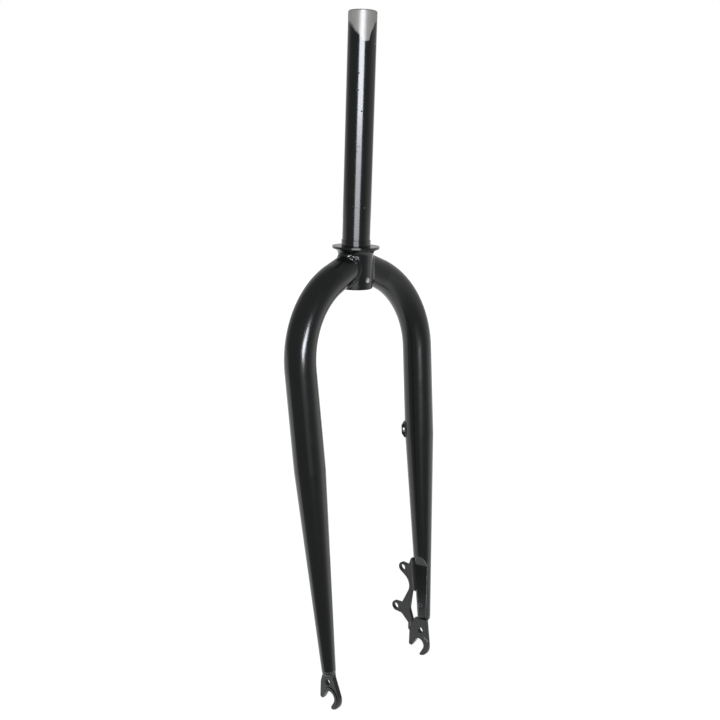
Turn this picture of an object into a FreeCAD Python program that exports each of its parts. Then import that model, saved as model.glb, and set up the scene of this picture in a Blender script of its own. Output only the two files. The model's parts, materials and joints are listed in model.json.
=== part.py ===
import FreeCAD, Part
import Sketcher
import math
import os

from FreeCAD import Placement, Rotation, Vector

# Rigid steel fork for a fat-tyre bicycle, in millimetres.
# Z runs up the steering axis, the rider's left is +X and forward is -Y.
# The origin lies on the steering axis, on the shelf that carries the lower headset race.

doc = FreeCAD.newDocument("fork")

# Driving sizes
SIZES = (
    ("steerer_radius", 14.3, "outside of the steerer, one and one eighth inch"),
    ("steerer_bore_radius", 12.7, "inside of the steerer"),
    ("steerer_spigot_radius", 14.0, "lower end of the steerer, inside the crown sleeve"),
    ("steerer_height", 230.0, "top of the steerer above the race shelf"),
    ("steerer_chamfer", 0.8, "broken edge at the top"),
    ("seat_radius", 15.0, "race seat"),
    ("seat_height", 6.4, "top of the race seat above the shelf"),
    ("seat_lead", 0.3, "broken edge at the top of the seat"),
    ("groove_height", 4.4, "turned groove in the race seat"),
    ("groove_width", 0.6, "width of that groove"),
    ("groove_depth", 0.4, "depth of that groove"),
    ("flange_radius", 24.3, "rim of the race shelf"),
    ("flange_thickness", 2.8, "height of that rim"),
    ("flange_round", 1.2, "rounding of that rim"),
    ("flare_radius", 6.0, "sweep from the shelf down to the barrel"),
    ("barrel_radius", 18.2, "barrel of the crown sleeve, where the blades join"),
    ("barrel_depth", 43.4, "bottom of the barrel below the shelf"),
    ("barrel_round", 1.0, "rounding at the bottom of the barrel"),
    ("crown_hole_radius", 2.6, "fore and aft hole through the barrel"),
    ("crown_hole_depth", 33.4, "that hole below the shelf"),
    ("blade_radius", 15.7, "outside of a blade above its taper"),
    ("blade_crown_radius", 14.2, "outside of a blade at the steering axis"),
    ("blade_end_radius", 7.2, "outside of a blade at its lower end"),
    ("blade_wall", 1.5, "wall of a blade"),
    ("blade_height", -16.3, "blade axis where it crosses the steering axis"),
    ("blade_setback", 0.2, "blade axis behind the steering axis there"),
    ("rake_angle", 7.0, "forward lean of the blades"),
    ("sweep_angle", 1.8, "forward sweep of each blade from the crown"),
    ("crown_angle", 24.0, "slope of a blade as it leaves the crown"),
    ("crown_run", 37.8, "straight part of a blade at the crown"),
    ("bend_radius", 88.8, "bend of a blade, on its axis"),
    ("leg_clearance", 0.1, "end of a leg outboard of the hub face"),
    ("taper_start", 98.0, "untapered part of a leg"),
    ("leg_length", 306.0, "leg from the bend to its end"),
    ("vent_radius", 1.5, "vent hole on the inner face of a leg"),
    ("vent_offset", 14.0, "vent hole above the end of a leg"),
    ("relief_top", 104.2, "top of the pressed flat above the axle"),
    ("relief_ramp", 92.2, "end of the slope into that flat above the axle"),
    ("relief_foot", 18.2, "bottom of the flat above the axle"),
    ("relief_edge", 2.4, "start of the flat outboard of the hub face"),
    ("relief_upper", 6.3, "flat at its upper end outboard of the hub face"),
    ("relief_lower", 0.2, "flat at its lower end outboard of the hub face"),
    ("relief_turn", 20.0, "flat turned forward from facing the wheel"),
    ("hub_width", 135.0, "between the inner faces of the dropouts"),
    ("dropout_thickness", 4.4, "dropout plate"),
    ("plate_round", 0.5, "rounded edges of the dropout plates and the tab"),
    ("axle_drop", 31.4, "axle below the end of a leg"),
    ("axle_lead", 0.4, "axle ahead of the end of a leg"),
    ("slot_radius", 6.4, "half the width of the axle slot"),
    ("slot_angle", 28.8, "slot mouth swings back from straight down"),
    ("slot_length", 24.0, "axle to past the mouth of the slot"),
    ("hook_radius", 13.0, "outside of the front finger, round the axle"),
    ("hook_tip_round", 1.3, "rounding of the front finger at the mouth"),
    ("nut_seat_radius", 10.0, "raised seat for the axle nut round the slot"),
    ("nut_seat_rise", 0.8, "height of that seat"),
    ("nut_seat_round", 0.5, "rounding of its rim"),
    ("neck_top", 32.4, "front end of the top edge above the axle"),
    ("neck_top_rear", 28.6, "rear end of the top edge above the axle"),
    ("neck_low", 22.2, "narrowest place of the neck above the axle"),
    ("neck_rear", 12.0, "rear of the neck behind the axle"),
    ("neck_step", 25.6, "neck steps in above the axle, to enter the leg"),
    ("neck_tongue", 8.4, "rear of that tongue behind the axle"),
    ("neck_round", 3.0, "rounding of the neck"),
    ("back_reach", 14.8, "rear edge of the plate behind the axle"),
    ("back_rise", 11.2, "rear edge begins above the axle"),
    ("back_round", 9.0, "rounding of that corner"),
    ("finger_drop", 6.4, "tip of the rear finger below the axle"),
    ("finger_round", 1.8, "rounding of that tip"),
    ("shoulder_rise", 3.2, "front edge turns above the axle"),
    ("shoulder_back", 0.4, "front edge behind the finger there"),
    ("shoulder_round", 12.0, "rounding of that turn"),
    ("plain_neck_front", 3.2, "front of the neck ahead of the axle, plain side"),
    ("disc_neck_front", 9.6, "front of the neck ahead of the axle, disc side"),
    ("neck_lean", 1.6, "front of the neck falls back toward the leg"),
    ("eyelet_radius", 3.2, "mudguard eyelet"),
    ("plain_eyelet_back", 4.6, "eyelet behind the axle, plain side"),
    ("plain_eyelet_rise", 14.2, "eyelet above the axle, plain side"),
    ("disc_eyelet_back", -1.0, "eyelet behind the axle, disc side"),
    ("disc_eyelet_rise", 17.2, "eyelet above the axle, disc side"),
    ("dome_height", 4.8, "weld dome below the end of a leg"),
    ("dome_round", 4.4, "rounding of that dome"),
    ("tab_thickness", 3.8, "caliper tab plate"),
    ("tab_inset", 0.5, "tab outboard of the inner face of the dropout"),
    ("caliper_spacing", 51.0, "between the two caliper holes"),
    ("caliper_hole_radius", 3.4, "caliper hole"),
    ("lug_radius", 5.7, "round end of each lug"),
    ("upper_lug_back", 29.1, "upper caliper hole behind the axle"),
    ("upper_lug_rise", 82.1, "upper caliper hole above the axle"),
    ("upper_lug_slope", 30.0, "lower edge of the upper lug off level"),
    ("lug_lean", 8.8, "line of the caliper holes off straight down"),
    ("tab_top", 97.8, "top of the tab above the axle"),
    ("tab_top_back", 17.6, "rear of that top behind the axle"),
    ("tab_top_round", 2.0, "rounding of that top"),
    ("tab_sink", 1.1, "front edge of the tab inside the skin of the leg"),
    ("tab_notch_back", 20.8, "notch above the upper lug, behind the axle"),
    ("tab_notch_round", 2.2, "rounding of that notch"),
    ("tab_waist_back", 14.6, "corner of the hollow between the lugs"),
    ("tab_waist_rise", 68.2, "that corner above the axle"),
    ("tab_waist_round", 12.4, "rounding of the hollow"),
    ("tab_crotch_back", 28.4, "corner above the lower lug"),
    ("tab_crotch_rise", 38.8, "that corner above the axle"),
    ("tab_crotch_round", 4.0, "rounding of that corner"),
    ("tab_heel_back", 28.0, "corner below the lower lug"),
    ("tab_heel_rise", 26.4, "that corner above the axle"),
    ("tab_heel_round", 5.0, "rounding of that corner"),
    ("tab_foot_back", 17.4, "rear of the foot behind the axle"),
    ("tab_foot_top", 18.8, "foot begins above the axle"),
    ("tab_foot_end", 12.0, "foot ends above the axle"),
    ("tab_join", 25.0, "tab meets the dropout above the axle"),
    ("gap_waist_back", 16.7, "hollow edge beside the leg"),
    ("gap_waist_rise", 36.2, "that edge above the axle"),
    ("gap_waist_round", 8.0, "rounding of that edge"),
    ("gap_top", 60.2, "gap between tab and leg begins above the axle"),
    ("gap_top_back", 14.0, "gap begins behind the axle"),
    ("crown_bead", 2.9, "bead between blade and barrel"),
    ("tab_bead", 3.0, "bead along the upper tab"),
    ("tab_bead_sink", 0.6, "middle of that bead below the inner face of the tab"),
    ("foot_bead", 3.0, "bead along the foot of the tab"),
    ("guide_length", 17.5, "hose guide along the leg"),
    ("guide_width", 8.0, "hose guide across the leg"),
    ("guide_rise", 3.8, "hose guide off the leg"),
    ("guide_hose_radius", 2.7, "trough for the hose"),
    ("guide_hose_sink", 1.6, "hose axis above the crest of the guide"),
    ("guide_tie_low", 0.6, "passage for a tie above the skin of the leg"),
    ("guide_tie_width", 4.0, "passage for a tie, along the leg"),
    ("guide_tie_height", 1.6, "passage for a tie, off the leg"),
    ("guide_along", 92.0, "middle of the guide below the bend"),
    ("guide_turn", 43.0, "guide turned in from straight back"),
)

sheet = doc.addObject("Spreadsheet::Sheet", "sizes")
for row, (alias, number, note) in enumerate(SIZES, start=1):
    sheet.set(f"A{row}", note)
    sheet.set(f"B{row}", str(number))
    sheet.setAlias(f"B{row}", alias)
doc.recompute()


def derive(alias, number, note):
    """Adds a size that follows from others to the sheet."""
    row = 1
    while sheet.getContents(f"A{row}"):
        row += 1
    sheet.set(f"A{row}", note)
    sheet.set(f"B{row}", str(number))
    sheet.setAlias(f"B{row}", alias)
    doc.recompute()


def size(alias):
    """Value of one driving size."""
    return float(sheet.get(alias))


def bind(thing, **sizes):
    """Ties properties of an object to cells of the sheet."""
    for prop, formula in sizes.items():
        thing.setExpression(prop, formula)


# Helpers for sketches and bodies
def new_body(label):
    """Empty body with a name."""
    body = doc.addObject("PartDesign::Body", label)
    body.Label = label
    return body


def new_sketch(body, role):
    """Empty sketch on one of the origin planes of a body."""
    plane = next(o for o in body.Origin.OriginFeatures if o.Role == role)
    sketch = body.newObject("Sketcher::SketchObject", body.Name + "_sketch")
    sketch.AttachmentSupport = (plane, [""])
    sketch.MapMode = "FlatFace"
    return sketch


def cell(formula):
    """Number that a formula over the sheet gives, for the first guess of a sketch."""
    return float(sheet.evalExpression(formula))


def s(*terms):
    """Formula from signed names of sizes, such as s('-hook_radius', 'shoulder_back')."""
    parts = []
    for term in terms:
        sign = "-" if term.startswith("-") else "+"
        parts.append(f"{sign} sizes.{term.lstrip('-')}")
    return " ".join(parts).lstrip("+ ") if parts else "0"


def draw_polygon(sketch, corners):
    """Closed polygon whose corners are pairs of formulas."""
    points = [Vector(cell(a), cell(b), 0) for a, b in corners]
    count = len(points)
    for i in range(count):
        sketch.addGeometry(Part.LineSegment(points[i], points[(i + 1) % count]), False)
    for i in range(count):
        sketch.addConstraint(Sketcher.Constraint("Coincident", i, 2, (i + 1) % count, 1))
    for i, (a, b) in enumerate(corners):
        for kind, formula, start in (("DistanceX", a, points[i].x), ("DistanceY", b, points[i].y)):
            index = sketch.addConstraint(Sketcher.Constraint(kind, -1, 1, i, 1, start))
            sketch.setExpression(f"Constraints[{index}]", formula)


def draw_circle(sketch, across, up, radius):
    """Circle whose middle and radius are formulas."""
    middle = Vector(cell(across), cell(up), 0)
    index = sketch.addGeometry(Part.Circle(middle, Vector(0, 0, 1), cell(radius)), False)
    for kind, formula in (("DistanceX", across), ("DistanceY", up)):
        number = sketch.addConstraint(Sketcher.Constraint(kind, -1, 1, index, 3, cell(formula)))
        sketch.setExpression(f"Constraints[{number}]", formula)
    number = sketch.addConstraint(Sketcher.Constraint("Radius", index, cell(radius)))
    sketch.setExpression(f"Constraints[{number}]", radius)


def turned(label, corners):
    """Body turned about Z from a half profile of radius and height."""
    body = new_body(label)
    sketch = new_sketch(body, "XZ_Plane")
    draw_polygon(sketch, corners)
    revolve = body.newObject("PartDesign::Revolution", label + "_turning")
    revolve.Profile = sketch
    revolve.ReferenceAxis = (sketch, ["V_Axis"])
    revolve.Angle = 360.0
    doc.recompute()
    return body


def plate(label, corners, thickness):
    """Flat plate drawn in Y and Z, with its thickness either side of the YZ plane."""
    body = new_body(label)
    sketch = new_sketch(body, "YZ_Plane")
    draw_polygon(sketch, corners)
    pad = body.newObject("PartDesign::Pad", label + "_plate")
    pad.Profile = sketch
    pad.Midplane = True
    bind(pad, Length=thickness)
    doc.recompute()
    return body


def pierce(body, role, circles):
    """Round holes right through a body, square to one of its origin planes."""
    sketch = new_sketch(body, role)
    for across, up, radius in circles:
        draw_circle(sketch, across, up, radius)
    pocket = body.newObject("PartDesign::Pocket", body.Name + "_holes")
    pocket.Profile = sketch
    pocket.Type = "ThroughAll"
    pocket.Midplane = True
    doc.recompute()
    return pocket


def round_edges(body, radius, wanted):
    """Rounds the edges of the body's newest feature that the test picks out."""
    base = body.Tip
    names = [f"Edge{i}" for i, edge in enumerate(base.Shape.Edges, start=1) if wanted(edge)]
    if not names:
        raise RuntimeError(f"no edge to round with {radius} on {body.Label}")
    fillet = body.newObject("PartDesign::Fillet", body.Name + "_round")
    fillet.Base = (base, names)
    bind(fillet, Radius="sizes." + radius)
    doc.recompute()
    if "Invalid" in fillet.State:
        raise RuntimeError(f"rounding with {radius} on {body.Label} did not build")
    return fillet


def ring_at(radius, height):
    """Test for a round edge of a turned body."""
    def test(edge):
        curve = edge.Curve
        return (isinstance(curve, Part.Circle) and abs(curve.Radius - radius) < 1e-4
                and abs(curve.Center.z - height) < 1e-4)
    return test


def corner_at(across, up, slack=0.001):
    """Test for an edge through the thickness of a plate, at one corner of its outline."""
    def test(edge):
        a, b = (v.Point for v in (edge.Vertexes[0], edge.Vertexes[-1]))
        along = abs(a.x - b.x) > 1e-3 and abs(a.y - b.y) < 1e-4 and abs(a.z - b.z) < 1e-4
        return along and abs(a.y - across) < slack and abs(a.z - up) < slack
    return test


def face_edge(off):
    """Test for an edge of the outline on either face of a plate, at a distance from its middle plane."""
    def test(edge):
        ends = [v.Point.x for v in edge.Vertexes] + [edge.CenterOfMass.x]
        return all(abs(abs(x) - off) < 1e-4 for x in ends)
    return test


# Steerer, with a spigot that is pressed into the crown sleeve
steerer = turned("steerer_tube", (
    (s("steerer_bore_radius"), s("-barrel_depth")),
    (s("steerer_spigot_radius"), s("-barrel_depth")),
    (s("steerer_spigot_radius"), s("seat_height")),
    (s("steerer_radius"), s("seat_height")),
    (s("steerer_radius"), s("steerer_height", "-steerer_chamfer")),
    (s("steerer_radius", "-steerer_chamfer"), s("steerer_height")),
    (s("steerer_bore_radius"), s("steerer_height")),
))

# Crown sleeve: race seat, shelf and barrel, turned as one
sleeve = turned("crown_sleeve", (
    (s("steerer_spigot_radius"), s("-barrel_depth")),
    (s("barrel_radius"), s("-barrel_depth")),
    (s("barrel_radius"), s("-flange_thickness")),
    (s("flange_radius"), s("-flange_thickness")),
    (s("flange_radius"), "0"),
    (s("seat_radius"), "0"),
    (s("seat_radius"), s("groove_height", "-groove_width")),
    (s("seat_radius", "-groove_depth"), s("groove_height", "-groove_width")),
    (s("seat_radius", "-groove_depth"), s("groove_height")),
    (s("seat_radius"), s("groove_height")),
    (s("seat_radius"), s("seat_height", "-seat_lead")),
    (s("seat_radius", "-seat_lead"), s("seat_height")),
    (s("steerer_spigot_radius"), s("seat_height")),
))
underside = -size("flange_thickness")
round_edges(sleeve, "flare_radius", ring_at(size("barrel_radius"), underside))
round_edges(sleeve, "barrel_round", ring_at(size("barrel_radius"), -size("barrel_depth")))
round_edges(sleeve, "flange_round", ring_at(size("flange_radius"), underside))
for body in (steerer, sleeve):
    pierce(body, "XZ_Plane", (("0", s("-crown_hole_depth"), s("crown_hole_radius")),))

# Outside of the crown, filled, against which the blades are mitred
BELOW_CROWN = "sizes.barrel_depth * 2"
crown = turned("crown_envelope", (
    ("0", "-" + BELOW_CROWN),
    (s("barrel_radius"), "-" + BELOW_CROWN),
    (s("barrel_radius"), s("-flange_thickness")),
    (s("flange_radius"), s("-flange_thickness")),
    (s("flange_radius"), "0"),
    ("0", "0"),
))
round_edges(crown, "flare_radius", ring_at(size("barrel_radius"), underside))

# Path of the disc-side blade, in its own leaning plane
ACROSS = Vector(1, 0, 0)
BACK = Vector(0, 1, 0)
UP = Vector(0, 0, 1)
HUB_FACE = "sizes.hub_width / 2"
crown_slope = math.radians(size("crown_angle"))
lean = Rotation(UP, -size("sweep_angle")) * Rotation(ACROSS, -size("rake_angle"))
blade_frame = Placement(Vector(0, size("blade_setback"), size("blade_height")), lean)
run_way = Vector(math.cos(crown_slope), 0, -math.sin(crown_slope))
bend_start_way = Vector(math.sin(crown_slope), 0, math.cos(crown_slope))
bend_middle = run_way * size("crown_run") - bend_start_way * size("bend_radius")


def leg_point(toe, along):
    """Point on the axis of the disc-side leg, at a length below the bend, for one lean toward the wheel."""
    top = bend_middle + Vector(math.cos(toe), 0, -math.sin(toe)) * size("bend_radius")
    return blade_frame.multVec(top + Vector(-math.sin(toe), 0, -math.cos(toe)) * along)


# Each leg leans in just enough to bring its end beside the hub face
leg_end_across = size("hub_width") / 2 + size("blade_end_radius") + size("leg_clearance")
toe = 0.0
for _ in range(20):
    toe += (leg_point(toe, size("leg_length")).x - leg_end_across) / size("leg_length")
derive("toe_angle", math.degrees(toe), "lean of each leg toward the wheel")

run_place = blade_frame * Placement(Vector(), Rotation(BACK, 90 + size("crown_angle")))
bend_place = blade_frame * Placement(bend_middle, Rotation(bend_start_way, run_way, BACK, "ZXY"))
leg_turn = Rotation(BACK, size("toe_angle"))
leg_place = Placement(leg_point(toe, 0), lean * leg_turn)
leg_end = leg_point(toe, size("leg_length"))
axle = Vector(0, leg_end.y - size("axle_lead"), leg_end.z - size("axle_drop"))


def cut(label, base, tool):
    """What is left of one object when another is taken out of it."""
    result = doc.addObject("Part::Cut", label)
    result.Label = label
    result.Base = base
    result.Tool = tool
    doc.recompute()
    return result


def fuse(label, things):
    """Several objects made one."""
    result = doc.addObject("Part::MultiFuse", label)
    result.Label = label
    result.Shapes = things
    doc.recompute()
    return result


def mirrored(label, source):
    """The same thing on the plain side."""
    result = doc.addObject("Part::Mirroring", label)
    result.Label = label
    result.Source = source
    result.Normal = ACROSS
    doc.recompute()
    return result


def blade_solid(tag, inset, past_end):
    """Filled blade with its radius drawn in by a formula and its end run on by another."""
    run = doc.addObject("Part::Cone", tag + "_run")
    bind(run, Radius1="sizes.blade_crown_radius" + inset, Radius2="sizes.blade_radius" + inset,
         Height="sizes.crown_run")
    run.Placement = run_place
    bend = doc.addObject("Part::Torus", tag + "_bend")
    bind(bend, Radius1="sizes.bend_radius", Radius2="sizes.blade_radius" + inset,
         Angle3="90 + sizes.toe_angle - sizes.crown_angle")
    bend.Placement = bend_place
    corners = [
        ("0", "0"),
        ("sizes.blade_radius" + inset, "0"),
        ("sizes.blade_radius" + inset, s("-taper_start")),
        ("sizes.blade_end_radius" + inset, s("-leg_length")),
    ]
    if past_end:
        corners.append(("sizes.blade_end_radius" + inset, "-sizes.leg_length - " + past_end))
    corners.append(("0", corners[-1][1]))
    leg = turned(tag + "_leg", corners)
    leg.Placement = leg_place
    return fuse(tag, [run, bend, leg])


blade_outside = blade_solid("blade_outside", "", "")
blade_inside = blade_solid("blade_inside", " - sizes.blade_wall", "sizes.blade_wall")


# Pressed flat on the inner face of the disc-side leg
def relief_body(label, shift):
    """Everything on the wheel side of the flat, moved out by a formula."""
    body = new_body(label)
    sketch = new_sketch(body, "XZ_Plane")
    draw_polygon(sketch, (
        (HUB_FACE + " + sizes.relief_edge" + shift, s("relief_top")),
        (HUB_FACE + " + sizes.relief_upper" + shift, s("relief_ramp")),
        (HUB_FACE + " + sizes.relief_lower" + shift, s("relief_foot")),
        ("0", s("relief_foot")),
        ("0", s("relief_top")),
    ))
    pad = body.newObject("PartDesign::Pad", label + "_block")
    pad.Profile = sketch
    pad.Midplane = True
    bind(pad, Length="sizes.blade_radius * 4")
    body.Placement = Placement(axle, Rotation(UP, size("relief_turn")), leg_end - axle)
    doc.recompute()
    return body


relief = relief_body("relief", "")
relief_inner = relief_body("relief_inner", " + sizes.blade_wall")


# Dropout plates, drawn with the axle at their origin
def axle_slot(body):
    """Cuts the slot for the axle, open to the rear and below."""
    pierce(body, "YZ_Plane", (("0", "0", s("slot_radius")),))
    mouth = new_sketch(body, "YZ_Plane")
    swing = "sizes.slot_angle * 1 deg"
    side_y = f"sizes.slot_radius * cos({swing})"
    side_z = f"sizes.slot_radius * sin({swing})"
    reach_y = f"sizes.slot_length * sin({swing})"
    reach_z = f"sizes.slot_length * cos({swing})"
    draw_polygon(mouth, (
        (side_y, side_z),
        (f"{side_y} + {reach_y}", f"{side_z} - {reach_z}"),
        (f"-{side_y} + {reach_y}", f"-{side_z} - {reach_z}"),
        ("-" + side_y, "-" + side_z),
    ))
    slot = body.newObject("PartDesign::Pocket", body.Name + "_slot")
    slot.Profile = mouth
    slot.Type = "ThroughAll"
    slot.Midplane = True
    doc.recompute()


def nut_seat(label, side):
    """Round seat for the axle nut, raised on the outer face of a plate and open along the slot."""
    body = new_body(label)
    rim = new_sketch(body, "YZ_Plane")
    draw_circle(rim, "0", "0", s("nut_seat_radius"))
    pad = body.newObject("PartDesign::Pad", label + "_disc")
    pad.Profile = rim
    pad.Reversed = side < 0
    bind(pad, Length="sizes.dropout_thickness / 2 + sizes.nut_seat_rise")
    doc.recompute()
    top = side * (size("dropout_thickness") / 2 + size("nut_seat_rise"))
    round_edges(body, "nut_seat_round", lambda edge: abs(edge.CenterOfMass.x - top) < 1e-4)
    axle_slot(body)
    return body


def dropout(label, side, neck_front, eyelet_back, eyelet_rise):
    """Plate with axle slot, nut seat on its outer face and mudguard eyelet."""
    shoulder = s("-hook_radius", "shoulder_back")
    body = plate(label + "_plate", (
        (s("neck_tongue"), s("neck_top_rear")),
        (s("neck_tongue"), s("neck_step")),
        (s("neck_rear"), s("neck_low")),
        (s("back_reach"), s("back_rise")),
        (s("back_reach"), s("-finger_drop")),
        (s("slot_radius"), s("-finger_drop")),
        (s("slot_radius"), s("-hook_radius")),
        (s("-hook_radius"), s("-hook_radius")),
        (shoulder, s("shoulder_rise")),
        (s("-" + neck_front), s("neck_low")),
        (s("-" + neck_front, "neck_lean"), s("neck_top")),
    ), "sizes.dropout_thickness")
    hook = size("hook_radius")
    for alias, corner in (
            ("hook_radius", corner_at(-hook, -hook)),
            ("shoulder_round", corner_at(cell(shoulder), size("shoulder_rise"))),
            ("back_round", corner_at(size("back_reach"), size("back_rise"))),
            ("neck_round", corner_at(size("neck_rear"), size("neck_low"))),
            ("finger_round", corner_at(size("back_reach"), -size("finger_drop")))):
        round_edges(body, alias, corner)
    pierce(body, "YZ_Plane", ((s(eyelet_back), s(eyelet_rise), s("eyelet_radius")),))
    axle_slot(body)
    swing = math.radians(size("slot_angle"))
    for level, half_width in ((-size("finger_drop"), size("slot_radius")), (-hook, -size("slot_radius"))):
        drop = half_width * math.sin(swing) - level
        across = half_width * math.cos(swing) + drop * math.tan(swing)
        round_edges(body, "hook_tip_round", corner_at(across, level, size("hook_tip_round") / 2))
    round_edges(body, "plate_round", face_edge(size("dropout_thickness") / 2))
    seat = nut_seat(label + "_nut_seat", side)
    off = side * (size("hub_width") + size("dropout_thickness")) / 2
    for piece in (body, seat):
        piece.Placement = Placement(axle + ACROSS * off, Rotation())
    return fuse(label, [body, seat])


left_dropout = dropout("left_dropout", 1, "disc_neck_front", "disc_eyelet_back", "disc_eyelet_rise")
right_dropout = dropout("right_dropout", -1, "plain_neck_front", "plain_eyelet_back", "plain_eyelet_rise")

# Blades: hollow, mitred at the crown, notched round the dropouts, vented on the inner face
vent = doc.addObject("Part::Cylinder", "vent")
bind(vent, Radius="sizes.vent_radius", Height="sizes.blade_radius")
vent_middle = leg_point(toe, size("leg_length") - size("vent_offset"))
vent.Placement = Placement(vent_middle, Rotation(BACK, -90))

flat_outside = cut("flat_outside", blade_outside, relief)
flat_inside = cut("flat_inside", blade_inside, relief_inner)
left_tube = cut("left_tube", cut("left_pipe", flat_outside, flat_inside), vent)
left_mitred = cut("left_mitred", left_tube, crown)
left_blade = cut("left_blade", left_mitred, left_dropout)

plain_tube = cut("plain_tube", cut("plain_pipe", blade_outside, blade_inside), vent)
right_tube = mirrored("right_tube", cut("plain_mitred", plain_tube, crown))
right_blade = cut("right_blade", right_tube, right_dropout)

# Weld domes that close the blades round the dropouts
dome = turned("dome", (
    ("0", "0"),
    (s("blade_end_radius"), "0"),
    (s("blade_end_radius"), s("-dome_height")),
    ("0", s("-dome_height")),
))
round_edges(dome, "dome_round", ring_at(size("blade_end_radius"), -size("dome_height")))
dome.Placement = Placement(leg_end, lean * leg_turn)
left_dome = cut("left_dropout_weld", cut("left_dome", dome, relief), left_dropout)
right_dome = cut("right_dropout_weld", mirrored("right_dome", dome), right_dropout)

# Caliper tab, drawn with the axle at its origin
def leg_skin(height, across):
    """Point on the rear of the disc-side leg at one height and distance from the middle plane."""
    top = leg_point(toe, 0)
    share = (top.z - height) / (top.z - leg_end.z)
    middle = top + (leg_end - top) * share
    along = size("leg_length") * share
    taper = (along - size("taper_start")) / (size("leg_length") - size("taper_start"))
    radius = size("blade_radius") + (size("blade_end_radius") - size("blade_radius")) * taper
    off = min(abs(middle.x - across), radius)
    return Vector(across, middle.y + math.sqrt(radius ** 2 - off ** 2), height)


tab_middle = (size("hub_width") + size("tab_thickness")) / 2 + size("tab_inset")
for alias, edge in (("tab_front_upper", "tab_top"), ("tab_front_lower", "gap_top")):
    skin = leg_skin(axle.z + size(edge), tab_middle)
    derive(alias, skin.y - axle.y - size("tab_sink"), "front edge of the tab behind the axle")
lug_lean = "sizes.lug_lean * 1 deg"
lower_y = f"sizes.upper_lug_back + sizes.caliper_spacing * sin({lug_lean})"
lower_z = f"sizes.upper_lug_rise - sizes.caliper_spacing * cos({lug_lean})"
slope = "sizes.upper_lug_slope * 1 deg"
tab_raw = plate("tab_raw", (
    (s("tab_front_upper"), s("tab_top")),
    (s("tab_top_back"), s("tab_top")),
    (s("tab_notch_back"), s("upper_lug_rise", "lug_radius")),
    (s("upper_lug_back"), s("upper_lug_rise", "lug_radius")),
    (f"sizes.upper_lug_back + sizes.lug_radius * sin({slope})",
     f"sizes.upper_lug_rise - sizes.lug_radius * cos({slope})"),
    (s("tab_waist_back"), s("tab_waist_rise")),
    (s("tab_crotch_back"), s("tab_crotch_rise")),
    (lower_y, lower_z + " + sizes.lug_radius"),
    (lower_y, lower_z + " - sizes.lug_radius"),
    (s("tab_heel_back"), s("tab_heel_rise")),
    (s("tab_foot_back"), s("tab_foot_top")),
    (s("tab_foot_back"), s("tab_foot_end")),
    (s("tab_front_lower"), s("tab_foot_end")),
    (s("tab_front_lower"), s("tab_join")),
    (s("neck_rear"), s("tab_join")),
    (s("gap_waist_back"), s("gap_waist_rise")),
    (s("gap_top_back"), s("gap_top")),
    (s("tab_front_lower"), s("gap_top")),
), "sizes.tab_thickness")
tab_raw.Placement = Placement(axle + ACROSS * tab_middle, Rotation())
for alias, back, rise in (
        ("tab_top_round", "tab_top_back", "tab_top"),
        ("tab_waist_round", "tab_waist_back", "tab_waist_rise"),
        ("tab_crotch_round", "tab_crotch_back", "tab_crotch_rise"),
        ("tab_heel_round", "tab_heel_back", "tab_heel_rise"),
        ("gap_waist_round", "gap_waist_back", "gap_waist_rise")):
    round_edges(tab_raw, alias, corner_at(size(back), size(rise)))
round_edges(tab_raw, "tab_notch_round",
            corner_at(size("tab_notch_back"), size("lug_radius") + size("upper_lug_rise")))
lugs = new_sketch(tab_raw, "YZ_Plane")
draw_circle(lugs, s("upper_lug_back"), s("upper_lug_rise"), s("lug_radius"))
draw_circle(lugs, lower_y, lower_z, s("lug_radius"))
lug_pad = tab_raw.newObject("PartDesign::Pad", "tab_lugs")
lug_pad.Profile = lugs
lug_pad.Midplane = True
bind(lug_pad, Length="sizes.tab_thickness")
pierce(tab_raw, "YZ_Plane", (
    (s("upper_lug_back"), s("upper_lug_rise"), s("caliper_hole_radius")),
    (lower_y, lower_z, s("caliper_hole_radius")),
))
round_edges(tab_raw, "plate_round", face_edge(size("tab_thickness") / 2))
disc_tab = cut("disc_brake_tab", cut("tab_coped", tab_raw, flat_outside), left_dropout)


# Beads along the caliper tab
def bead(label, start, end, radius):
    """Round-ended rod between two points."""
    way = end - start
    rod = doc.addObject("Part::Cylinder", label + "_rod")
    bind(rod, Radius="sizes." + radius)
    rod.Height = way.Length
    rod.Placement = Placement(start, Rotation(UP, way))
    things = [rod]
    for name, spot in (("start", start), ("end", end)):
        ball = doc.addObject("Part::Sphere", f"{label}_{name}")
        bind(ball, Radius="sizes." + radius)
        ball.Placement = Placement(spot, Rotation())
        things.append(ball)
    return fuse(label, things)


seam_across = size("hub_width") / 2 + size("tab_inset") + size("tab_bead_sink")
seam_points = [leg_skin(axle.z + height, tab_middle) for height in
               (size("tab_top") - size("tab_bead"), size("gap_top") + size("tab_bead"))]
for point in seam_points:
    point.x = seam_across
tab_seam = bead("tab_seam", *seam_points, "tab_bead")
upper_weld = cut("upper_tab_weld", cut("tab_seam_trimmed", tab_seam, flat_outside), disc_tab)

foot_seam = bead("foot_seam",
                 axle + Vector(tab_middle, size("neck_rear"), size("tab_join") - size("foot_bead")),
                 axle + Vector(tab_middle, size("back_reach"), size("tab_foot_end")), "foot_bead")
lower_weld = cut("lower_tab_weld", cut("foot_seam_trimmed", foot_seam, left_dropout), disc_tab)


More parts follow.
